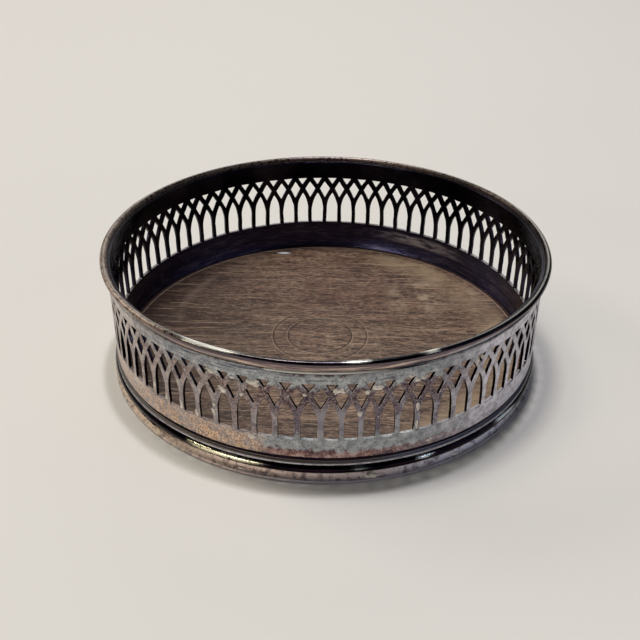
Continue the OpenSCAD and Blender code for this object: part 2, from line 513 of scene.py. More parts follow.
# Where plate powder dried on: degrees to the right of the front, height, half width and half height in mm
POLISH_SPOTS = (
    (-45.2, 17.1, 0.45, 1.3), (-40.9, 15.6, 0.45, 1.4), (-35.8, 15.3, 0.5, 1.4), (-31.3, 14.9, 0.5, 1.3),
    (-26.4, 30.2, 1.3, 0.7), (-21.4, 30.1, 0.7, 0.6), (-23.6, 25.4, 1.2, 1.2), (-26.2, 20.0, 0.6, 0.7),
    (-26.4, 17.7, 0.6, 1.1), (-19.1, 25.5, 0.7, 0.7), (-17.3, 30.0, 0.8, 0.5), (-16.2, 29.7, 1.7, 0.9),
    (-16.9, 12.6, 1.5, 1.0), (-4.6, 27.8, 0.8, 0.5), (2.6, 29.3, 1.5, 0.9), (3.6, 29.6, 0.7, 0.6),
    (7.6, 21.8, 0.9, 1.1), (9.2, 28.4, 0.9, 0.8), (11.8, 29.5, 1.5, 1.2), (19.1, 31.4, 0.7, 0.6),
    (20.6, 29.9, 0.9, 0.8), (22.2, 30.1, 0.7, 0.6), (21.2, 21.5, 0.7, 1.4), (21.3, 15.7, 0.5, 1.6),
    (24.6, 9.3, 0.9, 0.5), (37.2, 29.5, 0.5, 0.9), (38.7, 30.4, 0.4, 0.7),
)
# And on the foot: degrees to the right of the front, half width and half height in mm
FOOT_SPOTS = ((11.1, 1.9, 0.8), (-20.0, 0.8, 0.4), (33.0, 0.9, 0.4))


def dried_polish(finish):
    """Lumps of dried plate powder, seated on the band and the foot, each of a few crumbs run together."""
    foot_height, foot_seat_r, foot_lean = 1.35, 65.2, 0.9
    places = [(*spot, BAND_R, 0.0) for spot in POLISH_SPOTS]
    places += [(around, foot_height, wide, tall, foot_seat_r, foot_lean) for around, wide, tall in FOOT_SPOTS]
    # one large crumb and two small ones, as shares of the lump, and how far off the small ones may lie
    large, small, aside = 0.8, 0.45, 1.6
    crumbs = []
    for n, (around, height, wide, tall, seat_r, lean) in enumerate(places):
        crumbs.append((around, height, wide * large, tall * large, seat_r, lean))
        for k in range(2):
            side, rise = (noise.noise(Vector((n * 2.3, k * 4.1, draw))) for draw in (0.7, 5.7))
            shift = math.degrees(side * wide * aside / seat_r)
            climb = 0 if lean else rise * tall * aside
            crumbs.append((around + shift, height + climb, wide * small, tall * small, seat_r, lean))
    # a crumb's rings from its top to its edge, and its root, a little narrower and let into the metal
    rings, spokes, root_share, root_depth = 4, 12, 0.9, 0.35
    ragged_edge, ragged_top = 0.55, 0.16
    points, faces = [], []
    for n, (around, height, wide, tall, seat_r, lean) in enumerate(crumbs):
        start = len(points)
        a = math.radians(around)
        out = Vector((math.sin(a) * math.cos(lean), -math.cos(a) * math.cos(lean), math.sin(lean)))
        along = Vector((math.cos(a), math.sin(a), 0))
        up = along.cross(-out) if lean == 0 else out.cross(along)
        if up.z < 0:
            up = -up
        seat = Vector((seat_r * math.sin(a), -seat_r * math.cos(a), height))
        thick = 0.14 + 0.26 * min(wide, tall)
        sections = [(k / rings, math.sqrt(1 - (k / rings) ** 2) * thick) for k in range(1, rings + 1)]
        sections.append((root_share, -root_depth))
        points.append(tuple(seat + out * thick))
        for share, stand in sections:
            for k in range(spokes):
                turn = FULL_TURN * k / spokes
                right, rise = math.cos(turn), math.sin(turn)
                reach = share * (1 + ragged_edge * noise.noise(Vector((right * 1.9, rise * 1.9, n * 3.7))))
                crumb = ragged_top * noise.noise(Vector((right * share * 4, rise * share * 4, n * 5.1 + 2)))
                p = seat + along * (wide * reach * right) + up * (tall * reach * rise)
                points.append(tuple(p + out * (stand + (crumb if stand > 0 else 0))))
        points.append(tuple(seat - out * root_depth))
        rows = [[start + 1 + k * spokes + i for i in range(spokes)] for k in range(len(sections))]
        sense = 1 if along.cross(up).dot(out) > 0 else -1
        for i in range(spokes):
            j = (i + 1) % spokes
            faces.append((start, rows[0][i], rows[0][j])[::sense])
            for near, far in zip(rows, rows[1:]):
                faces.append((near[i], far[i], far[j], near[j])[::sense])
            faces.append((len(points) - 1, rows[-1][j], rows[-1][i])[::sense])
    piece = make_piece("dried_polish", points, faces, [finish])


# ---- Finishes ----

def add(tree, kind, links=None, out=0, stops=None, **settings):
    """A shader node with its settings; each link takes a plain value or another node's output.
    It hands back one of the node's outputs, or all of them where out is None."""
    node = tree.nodes.new("ShaderNode" + kind)
    for name, value in settings.items():
        setattr(node, name, value)
    for key, value in (links or {}).items():
        if isinstance(value, bpy.types.NodeSocket):
            tree.links.new(value, node.inputs[key])
        else:
            node.inputs[key].default_value = value
    if stops:
        ramp = node.color_ramp
        while len(ramp.elements) < len(stops):
            ramp.elements.new(0.5)
        for element, (position, shade) in zip(ramp.elements, stops):
            element.position = position
            element.color = linear(shade) if isinstance(shade, str) else (shade, shade, shade, 1)
    return node.outputs if out is None else node.outputs[out]


def start_finish(name):
    """A new material, with its shader and the piece's own coordinates in millimetres."""
    finish = bpy.data.materials.new(name)
    finish.use_nodes = True
    tree = finish.node_tree
    shader = tree.nodes["Principled BSDF"]
    place = add(tree, "TexCoord", out="Object")
    place = add(tree, "VectorMath", {0: place, 1: (1000, 1000, 1000)}, operation="MULTIPLY")
    return finish, tree, shader, place


def round_the_ring(tree, place):
    """How far round from the front a point lies, as a share of a turn, and its height in millimetres."""
    axes = add(tree, "SeparateXYZ", {0: place}, out=None)
    front = add(tree, "Math", {0: axes[1], 1: -1.0}, operation="MULTIPLY")
    around = add(tree, "Math", {0: axes[0], 1: front}, operation="ARCTAN2")
    share = add(tree, "Math", {0: around, 1: 1 / FULL_TURN, 2: 0.5}, operation="MULTIPLY_ADD")
    return share, axes[2]


# Degrees round from the front past which a finish slides toward its value at the back
BACK_STARTS = 120


def midway(one, other):
    """The value halfway between two, or the shade halfway between two sRGB colours."""
    if isinstance(one, str):
        halves = [(int(one[k:k + 2], 16) + int(other[k:k + 2], 16)) // 2 for k in (1, 3, 5)]
        return "#%02X%02X%02X" % tuple(halves)
    return (one + other) / 2


def around_stops(*pairs):
    """Ramp stops from pairs of degrees round from the front and a value; both ends meet at the back."""
    pairs = list(pairs)
    back = midway(pairs[0][1], pairs[-1][1])
    if pairs[0][0] > -BACK_STARTS:
        pairs.insert(0, (-BACK_STARTS, pairs[0][1]))
    if pairs[-1][0] < BACK_STARTS:
        pairs.append((BACK_STARTS, pairs[-1][1]))
    pairs = [(-180, back)] + pairs + [(180, back)]
    return [(degrees / 360 + 0.5, value) for degrees, value in pairs]


def height_stops(*pairs):
    """Stops of a shade up the piece, from heights in millimetres."""
    return [(height / TALLEST, shade) for height, shade in pairs]


def roughened(tree, value, noise_of, amount, span=1.0):
    """A height or a turn pushed up and down by a noise, so that an edge laid by it comes out ragged."""
    pushed = add(tree, "Math", {0: noise_of, 1: 0.5}, operation="SUBTRACT")
    pushed = add(tree, "Math", {0: pushed, 1: amount, 2: value}, operation="MULTIPLY_ADD")
    return add(tree, "Math", {0: pushed, 1: span}, operation="DIVIDE")


def coat(tree, shader, layers, ground, metal, rough, relief):
    """Lays layers of (mask, colour, metallic, roughness) over a ground, and hands them to the shader.
    A mask, a colour or the ground's roughness may be a value with the stops that it runs through.
    The relief is a height, its strength, and its depth in millimetres."""
    ground, rough = product(tree, ground), product(tree, rough)
    for mask, hue, shine, satin in layers:
        mask = product(tree, mask)
        hue = linear(hue) if isinstance(hue, str) else product(tree, hue)
        ground = add(tree, "Mix", {0: mask, 6: ground, 7: hue}, out=2, data_type="RGBA")
        # what a layer leaves as it was stays a plain value
        if shine != metal:
            metal = add(tree, "Mix", {0: mask, 2: metal, 3: shine})
        if satin != rough:
            rough = add(tree, "Mix", {0: mask, 2: rough, 3: satin})
    height, strength, depth = relief
    bump = add(tree, "Bump", {"Strength": strength, "Distance": depth * MM, "Height": height})
    for name, value in (("Base Color", ground), ("Metallic", metal), ("Roughness", rough), ("Normal", bump)):
        if isinstance(value, bpy.types.NodeSocket):
            tree.links.new(value, shader.inputs[name])
        else:
            shader.inputs[name].default_value = value


def product(tree, *masks):
    """Where all the masks hold at once; where there is only one, it comes back as it is.
    Any may be a value with the stops that it runs through."""
    kept = None
    for mask in masks:
        if isinstance(mask, tuple):
            mask = add(tree, "ValToRGB", {0: mask[0]}, stops=mask[1])
        kept = mask if kept is None else add(tree, "Math", {0: kept, 1: mask}, operation="MULTIPLY")
    return kept


def plated_outside(name, rubbed):
    """Silver plate on copper, sulphided and corroded: satin grey, with dried polish and copper showing.
    The arrises of the piercing are rubbed brighter than the faces between them."""
    finish, tree, shader, place = start_finish(name)
    share, height = round_the_ring(tree, place)
    # patches of tarnish near 8 mm and 2 mm, and pitting near 0.5 mm
    broad, coarse, fine = (
        add(tree, "TexNoise", {"Vector": place, "Scale": scale, "Detail": detail, "Roughness": roughness})
        for scale, detail, roughness in ((0.13, 4.0, 0.6), (0.5, 5.0, 0.65), (2.0, 3.0, 0.6)))
    # rubbing cloths leave smears some 9 mm long and 0.6 mm wide, along the ring
    along = add(tree, "CombineXYZ", {0: share, 1: height})
    along = add(tree, "Mapping", {0: along, 3: (FULL_TURN * BAND_R / 9.0, 1 / 0.6, 1.0)})
    smear = add(tree, "TexNoise", {"Vector": along, "Scale": 1.0, "Detail": 4.0, "Roughness": 0.6})
    level = roughened(tree, height, coarse, 5.0, TALLEST)
    strict = add(tree, "Math", {0: height, 1: TALLEST}, operation="DIVIDE")
    wander = roughened(tree, share, broad, 0.12)

    ground = (wander, around_stops(
        (-120, "#B0AEB4"), (-60, "#D2C8C2"), (-28, "#A39DA0"), (-8, "#928D93"), (22, "#A8A5AE"),
        (40, "#DAD8E2"), (110, "#B8B7C0")))

    # the arms of the arches have lost their plate, and the copper below has gone brown
    arms = product(
        tree,
        (wander, around_stops(
            (-75, 0.1), (-50, 0.35), (-28, 0.75), (-12, 1), (20, 0.95), (34, 0.45), (50, 0.1), (120, 0.1),
            (165, 0.5))),
        (strict, height_stops((22.0, 0), (24.8, 1), (30.4, 1), (31.4, 0))),
        (coarse, [(0.38, 1.0), (0.62, 0.55)]))
    arms_hue = (fine, [(0.36, "#35293A"), (0.5, "#5E4C4E"), (0.64, "#958680")])
    bruise = product(
        tree,
        (broad, [(0.44, 0), (0.53, 0.9)]),
        (wander, around_stops((-90, 0.6), (-30, 0.3), (-10, 0.8), (30, 0.9), (42, 0.15), (90, 0.6))),
        (strict, height_stops((13, 0.1), (14.5, 1), (31, 1), (32, 0.2))))
    bruise_hue = (fine, [(0.4, "#33293A"), (0.52, "#5A4852"), (0.65, "#8A7880")])

    copper = product(
        tree,
        (wander, around_stops(
            (-110, 0), (-80, 0.3), (-54, 0.55), (-44, 0.95), (-22, 1), (-12, 0.75), (-3, 0.0), (150, 0),
            (165, 0.6), (178, 0))),
        (strict, height_stops((7, 1), (11.4, 1), (13.6, 0.55), (14.4, 0.2), (29, 0.25), (36, 0.0))),
        (coarse, [(0.4, 0.25), (0.52, 1.0)]),
        (broad, [(0.4, 0.35), (0.5, 1.0)]))
    copper_hue = (fine, [(0.36, "#86705F"), (0.5, "#CDA98C"), (0.64, "#F4DCC2")])

    hem = product(
        tree,
        (wander, around_stops((-16, 0.0), (-5, 1), (11, 1), (20, 0.55), (40, 0.1), (90, 0.1))),
        (level, height_stops((7, 1), (9.8, 1), (10.4, 0))))
    hem_hue = (coarse, [
        (0.36, "#4A3544"), (0.46, "#7E5C58"), (0.54, "#A5867F"), (0.64, "#C8AFA8")])

    # dried polish lies in a crust on both strips, thickest at the front
    crust_low = product(
        tree,
        (wander, around_stops(
            (-17, 0.0), (-9, 0.85), (22, 1), (33, 0.2), (42, 0), (100, 0), (140, 0.5), (175, 0.0))),
        (level, height_stops((9.8, 0), (10.6, 1), (14.2, 1), (15.6, 0.2), (17, 0))))
    crust_high = product(
        tree,
        (wander, around_stops(
            (-52, 0.0), (-40, 0.75), (-20, 1), (24, 1), (34, 0.3), (44, 0), (140, 0.4), (175, 0.0))),
        (level, height_stops((29.2, 0), (30.7, 1), (34.0, 1), (34.4, 0))))
    crust = add(tree, "Math", {0: crust_low, 1: crust_high}, operation="MAXIMUM")
    crust_hue = (coarse, [(0.34, "#878C90"), (0.5, "#AAAEB0"), (0.66, "#CDCFD0")])
    # and it has rubbed through along the cloth's strokes
    stroked = product(
        tree, crust_high,
        (smear, [(0.36, 0.9), (0.46, 0.0)]),
        (broad, [(0.42, 0.2), (0.56, 1)]))

    under_bead = product(
        tree,
        (wander, around_stops((-14, 0), (-8, 0.9), (0, 0.9), (5, 0.2), (30, 0.1), (50, 0))),
        (level, height_stops((33.4, 0), (33.9, 1), (34.6, 1), (34.9, 0))),
        (coarse, [(0.42, 0.1), (0.5, 1)]))
    navy = product(
        tree,
        (wander, around_stops(
            (-52, 0.0), (-36, 0.9), (-18, 0.9), (-10, 0.2), (10, 0.1), (30, 0.4), (60, 0.3), (100, 0.2))),
        (strict, height_stops((31.5, 0), (32.5, 1), (36, 1))),
        (smear, [(0.5, 0), (0.57, 0.9)]))
    rim_strip = product(
        tree,
        (wander, around_stops((-75, 0.2), (-40, 0.6), (-12, 0.95), (20, 0.9), (32, 0.3), (60, 0.12), (170, 0.3))),
        (strict, height_stops((34.5, 0), (34.9, 1))))
    rim_hue = (smear, [(0.36, "#5E5258"), (0.5, "#A39088"), (0.64, "#E0C6B6")])

    fleck = add(tree, "TexVoronoi", {"Vector": place, "Scale": 0.9, "Randomness": 1.0})
    fleck = product(
        tree,
        (fleck, [(0.12, 1), (0.19, 0)]),
        (coarse, [(0.52, 0), (0.57, 0.9)]),
        (wander, around_stops((-70, 0.3), (-50, 1), (36, 1), (50, 0.1))))

    layers = [
        ((coarse, [(0.38, 0.6), (0.56, 0.0)]), "#7C767E", 1.0, 0.42),
        (bruise, bruise_hue, 1.0, 0.38),
        (arms, arms_hue, 0.9, 0.42),
        (copper, copper_hue, 0.75, 0.5),
        (hem, hem_hue, 0.7, 0.48),
        (product(tree, hem, (fine, [(0.6, 0), (0.66, 0.9)])), "#E0B698", 0.5, 0.6),
        (crust, crust_hue, 0.15, 0.7),
        (product(tree, crust, (fine, [(0.36, 0.75), (0.45, 0.0)])), "#62605F", 0.3, 0.6),
        (stroked, "#5D5760", 0.8, 0.4),
        (navy, "#39405A", 1.0, 0.35),
        (under_bead, "#432A30", 0.9, 0.35),
        (rim_strip, rim_hue, 0.85, 0.42),
        (fleck, "#E6D8C6", 0.1, 0.8),
    ]
    if rubbed:
        layers.append(((coarse, [(0.42, 0.0), (0.6, 0.5)]), "#CFC9C6", 1.0, 0.28))
    lift = add(tree, "Math", {0: crust, 1: 0.6}, operation="MULTIPLY")
    lift = add(tree, "Math", {0: coarse, 1: 1.2, 2: lift}, operation="MULTIPLY_ADD")
    lift = add(tree, "Math", {0: fine, 1: 0.25, 2: lift}, operation="MULTIPLY_ADD")
    coat(tree, shader, layers, ground, 1.0, 0.36, (lift, 0.5, 0.12))
    return finish


def sulphide_film():
    """The band's inside: a full black-blue sulphide film, still as smooth as the polish below it."""
    finish, tree, shader, place = start_finish("sulphide_film")
    share, height = round_the_ring(tree, place)
    broad = add(tree, "TexNoise", {"Vector": place, "Scale": 0.06, "Detail": 4.0, "Roughness": 0.55})
    smear = add(tree, "Mapping", {0: place, 3: (0.25, 0.25, 1.4)})
    smear = add(tree, "TexNoise", {"Vector": smear, "Scale": 0.7, "Detail": 5.0, "Roughness": 0.6})
    # painted reflection, in part: the film is lighter low down, where the wood is mirrored in it
    low = add(tree, "MapRange", {0: height, 1: 11.0, 2: 15.0, 3: 1.0, 4: 0.0})
    ground = (broad, [(0.36, "#0E0D18"), (0.5, "#1D1B28"), (0.66, "#35323F")])
    rough = (smear, [(0.35, 0.14), (0.65, 0.3)])
    # a thumb has wiped the film away low down at the back, to the right
    strict = add(tree, "Math", {0: height, 1: TALLEST}, operation="DIVIDE")
    wiped = product(
        tree,
        (share, around_stops((128, 0), (140, 0.8), (154, 1.0), (164, 0))),
        (strict, height_stops((8.0, 0), (9.0, 1), (11.5, 1), (12.5, 0))),
        (smear, [(0.4, 0.1), (0.56, 1)]))
    lift = add(tree, "Math", {0: broad, 1: 6.0, 2: smear}, operation="MULTIPLY_ADD")
    coat(tree, shader, [
        (low, "#3D3B5C", 1.0, 0.25),
        (product(tree, low, (smear, [(0.48, 0), (0.66, 0.8)])), "#626078", 1.0, 0.3),
        (wiped, "#B4B8CA", 0.8, 0.35),
    ], ground, 1.0, rough, (lift, 0.3, 0.1))
    return finish


def wire_finish(name, black, foot, crown, bright, caked, cake_hue, painted_highlight, bare, flanked=None):
    """Drawn wire: black sulphide on its flank, rubbed bright between two heights on its crown.
    The bright and caked stops say how far round the ring the rubbing and the dried polish reach; the rubbing
    is strongest where the lamps' glints fall, so the crown is partly wear and partly painted highlight. The
    highlight stops say where the whole shoulder is painted near-white as a highlight, and the flanked ones
    where the lower flank has gone dull and pale; bare says how far that painted shoulder is metal."""
    finish, tree, shader, place = start_finish(name)
    share, height = round_the_ring(tree, place)
    broad = add(tree, "TexNoise", {"Vector": place, "Scale": 0.16, "Detail": 3.0})
    fine = add(tree, "TexNoise", {"Vector": place, "Scale": 0.8, "Detail": 3.0, "Roughness": 0.5})
    ragged = roughened(tree, height, fine, 0.16)
    top, shoulder = (
        add(tree, "MapRange", {0: ragged, 1: low, 2: high, 3: 0.0, 4: 1.0}, interpolation_type="SMOOTHSTEP")
        for low, high in ((foot, crown), (foot - 0.35, foot - 0.1)))
    layers = [(product(tree, (share, around_stops(*caked)), (fine, [(0.4, 0.35), (0.5, 1)])), cake_hue, 0.6, 0.5)]
    if flanked:
        flank = add(tree, "MapRange", {0: ragged, 1: foot - 0.62, 2: foot - 0.46, 3: 1.0, 4: 0.0},
                    interpolation_type="SMOOTHSTEP")
        layers.append((product(tree, flank, (share, around_stops(*flanked))), "#7A6A6E", 0.7, 0.4))
    layers += [
        # the crown is rubbed metal, brightest where the lamps' glints fall: partly wear, partly painted
        # highlight; the shoulder is painted near-white there: painted highlight
        (product(tree, top, (share, around_stops(*bright))), "#DCD8D2", 1.0, 0.24),
        (product(tree, shoulder, (share, around_stops(*painted_highlight))), "#F6F4EA", bare, 0.22),
    ]
    ground = (broad, [(0.42, black), (0.65, "#2E262E")])
    coat(tree, shader, layers, ground, 1.0, 0.22, (fine, 0.1, 0.05))
    return finish


def moulding_finish():
    """Rolled plated moulding: the roll black and glossy, the foot worn to pink copper and grey."""
    finish, tree, shader, place = start_finish("sulphided_moulding")
    share, height = round_the_ring(tree, place)
    broad, coarse, fine = (
        add(tree, "TexNoise", {"Vector": place, "Scale": scale, "Detail": detail, "Roughness": roughness})
        for scale, detail, roughness in ((0.1, 4.0, 0.5), (0.55, 5.0, 0.65), (2.0, 3.0, 0.6)))
    level = roughened(tree, height, coarse, 1.6, TALLEST)
    strict = add(tree, "Math", {0: height, 1: TALLEST}, operation="DIVIDE")
    wander = roughened(tree, share, broad, 0.12)
    ground = (broad, [(0.4, "#08080F"), (0.6, "#241923")])
    # painted shade: on the left the black ground runs lower down the flare, where the flare lies in shadow
    shade_lowering = add(tree, "ValToRGB", {0: share}, stops=around_stops((-48, 1 / TALLEST), (-22, 0)))
    foot = add(tree, "Math", {0: level, 1: shade_lowering}, operation="ADD")
    foot = add(tree, "ValToRGB", {0: foot}, stops=height_stops((0.0, 1), (2.3, 1), (2.7, 0)))
    foot_tint = (wander, around_stops(
        (-100, "#B8B2AC"), (-50, "#E2CDB6"), (-22, "#EDD5C4"), (-8, "#E2CAC2"), (12, "#E8DBDE"),
        (30, "#EAE8F4"), (100, "#D2CFD6")))
    foot_pale = product(tree, foot, (fine, [(0.54, 0), (0.6, 0.9)]), (broad, [(0.45, 0.1), (0.6, 1)]))
    edge = product(
        tree,
        (strict, height_stops((0.2, 0), (0.35, 1), (0.8, 1), (1.05, 0))),
        (share, around_stops((-60, 0.2), (-25, 0.3), (-5, 1), (100, 0.8))))
    # painted reflection: a pale line along the fillet's face, where the ceiling is mirrored
    ridge_reflection = product(
        tree,
        (strict, height_stops((5.45, 0), (5.62, 1), (6.05, 1), (6.25, 0))),
        (coarse, [(0.36, 0.6), (0.54, 1)]))
    ledge_tint = (share, around_stops(
        (-60, "#8A8684"), (-10, "#A3958F"), (12, "#A8A0A2"), (18, "#B4B4C6"), (30, "#A0A2B4"), (120, "#4A4A56")))
    # painted highlights: the roll is rubbed back to bright silver where the lamps' glints fall, a warm patch at
    # the left and cool ones at the right, with a small lavender smear among them; partly wear, partly painted
    # highlight
    left_glint_patch = product(
        tree,
        (share, around_stops((-35, 0), (-31, 1), (-22, 1), (-17, 0.5), (-14, 0))),
        (level, height_stops((3.7, 0), (4.1, 1), (5.0, 1), (5.3, 0))),
        (coarse, [(0.38, 0.2), (0.46, 1)]))
    # painted highlights at the right: cool glints, and a small lavender smear
    right_glint_patches = product(
        tree,
        (share, around_stops(
            (6, 0), (7.2, 0.35), (9, 0.3), (10, 0), (21.2, 0), (22, 1), (24.5, 1), (25.5, 0), (46, 0),
            (48, 0.8), (53, 0.8), (56, 0))),
        (level, height_stops((4.2, 0), (4.6, 1), (5.1, 1), (5.4, 0))))
    lift = add(tree, "Math", {0: coarse, 1: foot}, operation="MULTIPLY")
    lift = add(tree, "Math", {0: fine, 1: 0.06, 2: lift}, operation="MULTIPLY_ADD")
    coat(tree, shader, [
        (foot, foot_tint, 0.42, 0.55),
        (product(tree, foot, (coarse, [(0.4, 0.75), (0.52, 0.0)])), "#5E4A50", 0.8, 0.45),
        (foot_pale, "#E6D0BE", 0.5, 0.55),
        (edge, "#B4B0C0", 0.7, 0.42),
        (ridge_reflection, "#D6D3DA", 0.9, 0.32),
        ((strict, height_stops((6.22, 0), (6.36, 1), (6.45, 1), (6.7, 0))), ledge_tint, 0.4, 0.5),
        (left_glint_patch, "#F2EBCB", 1.0, 0.24),
        (right_glint_patches, "#D6DFE2", 1.0, 0.22),
        # painted shade: the foot's lowest edge, where it meets the table, is painted near-black
        ((strict, height_stops((0.12, 0.9), (0.26, 0))), "#1C1A1C", 0.3, 0.7),
    ], ground, 1.0, 0.16, (lift, 0.5, 0.12))
    return finish


def waxed_wood():
    """Turned mahogany, stained and waxed long ago: faded brown, with fine straight grain and open pores."""
    finish, tree, shader, place = start_finish("waxed_mahogany")
    axes = add(tree, "SeparateXYZ", {0: place}, out=None)

    def from_centre(off):
        flat = add(tree, "CombineXYZ", {0: axes[0], 1: axes[1]})
        flat = add(tree, "VectorMath", {0: flat, 1: (*off, 0.0)}, operation="SUBTRACT")
        flat = add(tree, "VectorMath", {0: flat}, out="Value", operation="LENGTH")
        return add(tree, "Math", {0: flat, 1: WOOD_R}, operation="DIVIDE")

    def round_about(x, y, near, far, most):
        away = add(tree, "VectorMath", {0: place, 1: (x, y, WOOD_TOP)}, out="Value", operation="DISTANCE")
        return add(tree, "MapRange", {0: away, 1: near, 2: far, 3: most, 4: 0.0}, interpolation_type="SMOOTHSTEP")

    warp = add(tree, "TexNoise", {"Vector": place, "Scale": 0.05, "Detail": 3.0})
    warped = add(tree, "Math", {0: warp, 1: 4.0, 2: axes[1]}, operation="MULTIPLY_ADD")
    lay = add(tree, "CombineXYZ", {0: axes[0], 1: warped, 2: axes[2]})
    lay = add(tree, "Mapping", {0: lay, 2: (0.0, 0.0, math.radians(2.0))})

    def streaks(length, width, detail, shift=0.0):
        laid = add(tree, "Mapping", {0: lay, 1: (shift, shift, 0.0), 3: (1 / length, 1 / width, 1.0)})
        return add(tree, "TexNoise", {"Vector": laid, "Scale": 1.0, "Detail": detail, "Roughness": 0.62})

    # growth bands near 3 mm; pores near 0.2 mm wide and 2 mm long are drawn twice as wide, to show
    band, vessel, pore = streaks(22.0, 3.0, 5.0), streaks(4.5, 0.55, 5.0, 3.1), streaks(1.6, 0.4, 3.0, 8.7)
    scratch = streaks(26.0, 0.34, 1.0, 5.3)
    cloud = add(tree, "TexNoise", {"Vector": place, "Scale": 0.09, "Detail": 4.0, "Roughness": 0.6})
    ground = (band, [(0.36, "#452F25"), (0.5, "#664B3C"), (0.64, "#856A57")])
    # the wood is darker at the left and towards the front; the right-hand share carries the painted reflections
    # below
    darker_left, darker_front, right = (
        add(tree, "MapRange", {0: along, 1: near, 2: far, 3: start, 4: end}, interpolation_type="SMOOTHSTEP")
        for along, near, far, start, end in (
            (axes[0], -64.0, -8.0, 0.85, 0.0), (axes[1], -62.0, -40.0, 0.5, 0.0), (axes[0], 8.0, 30.0, 0.0, 1.0)))
    lines, pales = [(0.0, 0)], [(0.0, 0)]
    half = LINE_W / 2 / WOOD_R
    for line, depth in zip(LINE_RADII, (0.9, 0.7)):
        centre = line / WOOD_R
        lines += [(centre + at * half, dark) for at, dark in ((-1.5, 0), (-0.7, depth), (0.7, depth), (1.5, 0))]
        centre += 2 * half
        pales += [(centre - 1.2 * half, 0), (centre, 0.6), (centre + 1.2 * half, 0)]
    round_lines, round_disc = from_centre(LINES_OFF), from_centre((0.0, 0.0))
    # painted reflections in the varnish: a pale arc near the right-hand edge, where the light through the arcade
    # is mirrored, and a pale patch inside it, where a window is mirrored
    reflected_arc = product(
        tree,
        (round_disc, [(0.76, 0), (0.86, 0.8), (0.92, 0.7), (0.965, 0)]),
        right,
        (cloud, [(0.35, 0.3), (0.55, 1)]))
    patchy = add(tree, "ValToRGB", {0: cloud}, stops=[(0.42, 0), (0.56, 1)])
    reflected_patch = product(tree, round_about(33.0, 25.0, 2.0, 15.0, 0.9), patchy)
    milky = product(tree, (cloud, [(0.48, 0), (0.62, 0.4)]), (pore, [(0.4, 0.3), (0.6, 1)]))
    redder = product(tree, round_about(6.0, 30.0, 6.0, 34.0, 0.6), (cloud, [(0.4, 0.3), (0.58, 1)]))
    # a crescent of varnish has crept back from the left; at the back a small bright spot is a painted glint
    crescent = add(tree, "VectorMath", {0: place, 1: (-4.0, 12.0, WOOD_TOP)}, out="Value", operation="DISTANCE")
    crescent = add(tree, "Math", {0: crescent, 1: 100.0}, operation="DIVIDE")
    left = add(tree, "MapRange", {0: axes[0], 1: -40.0, 2: -30.0, 3: 1.0, 4: 0.0})
    crescent = product(tree, (crescent, [(0.42, 0), (0.44, 0.3), (0.46, 0)]), patchy, left)
    flatter = 0.3
    painted_glint = add(tree, "Mapping", {0: place, 1: (15.1 * flatter, -57.4, -WOOD_TOP), 3: (flatter, 1.0, 1.0)})
    painted_glint = add(tree, "VectorMath", {0: painted_glint}, out="Value", operation="LENGTH")
    painted_glint = add(tree, "MapRange", {0: painted_glint, 1: 0.2, 2: 1.0, 3: 1.0, 4: 0.0}, interpolation_type="SMOOTHSTEP")
    lift = add(tree, "Math", {0: vessel, 1: 0.5, 2: pore}, operation="MULTIPLY_ADD")
    coat(tree, shader, [
        (redder, "#6B4236", 0.0, 0.4),
        (milky, "#84715F", 0.0, 0.45),
        ((vessel, [(0.55, 0.0), (0.68, 0.6)]), "#A08A74", 0.0, 0.4),
        ((vessel, [(0.38, 0.9), (0.48, 0.0)]), "#2C1C15", 0.0, 0.5),
        ((pore, [(0.38, 0.8), (0.46, 0.0)]), "#241712", 0.0, 0.6),
        ((pore, [(0.57, 0.0), (0.66, 0.6)]), "#B89F88", 0.0, 0.5),
        (reflected_arc, "#A08C72", 0.0, 0.32),
        (reflected_patch, "#AE9B82", 0.0, 0.32),
        (darker_left, "#27150F", 0.0, 0.42),
        (darker_front, "#3B2B27", 0.0, 0.4),
        (crescent, "#8A7468", 0.0, 0.4),
        ((scratch, [(0.65, 0.0), (0.7, 0.65)]), "#C0A68C", 0.0, 0.4),
        ((round_lines, pales), "#B39A82", 0.0, 0.45),
        ((round_lines, lines), "#281B16", 0.0, 0.5),
        ((round_disc, [(0.978, 0), (0.984, 0.85)]), "#2E1A18", 0.0, 0.4),
        ((round_disc, [(0.97, 0), (0.975, 0.6), (0.98, 0)]), "#BBA694", 0.0, 0.4),
        (painted_glint, "#E9EDF2", 0.0, 0.2),
    ], ground, 0.0, 0.42, (lift, 0.25, 0.08))
    return finish


def baize_cloth():
    """Woollen baize: a felted nap that takes light softly and shows no gloss."""
    finish, tree, shader, place = start_finish("wool_baize")
    nap = add(tree, "TexNoise", {"Vector": place, "Scale": 1.6, "Detail": 6.0, "Roughness": 0.7})
    worn = add(tree, "TexNoise", {"Vector": place, "Scale": 0.07, "Detail": 3.0})
    ground = (nap, [(0.35, "#26361F"), (0.65, "#4C6340")])
    faded = ((worn, [(0.45, 0), (0.65, 0.5)]), "#6B7052", 0.0, 0.95)
    coat(tree, shader, [faded], ground, 0.0, 0.95, (nap, 0.6, 0.25))
    shader.inputs["Sheen Weight"].default_value = 0.3
    shader.inputs["Sheen Roughness"].default_value = 0.5
    return finish


def chalky_polish():
    """Plate powder left to dry: a chalky cream, quite without gloss."""
    finish, tree, shader, place = start_finish("dried_plate_polish")
    crumb = add(tree, "TexNoise", {"Vector": place, "Scale": 2.0, "Detail": 5.0, "Roughness": 0.7})
    ground = (crumb, [(0.34, "#C6BBAD"), (0.5, "#E9DFD2"), (0.62, "#FAF5EE")])
    coat(tree, shader, [], ground, 0.0, 0.9, (crumb, 0.6, 0.15))
    return finish


# ---- Studio ----

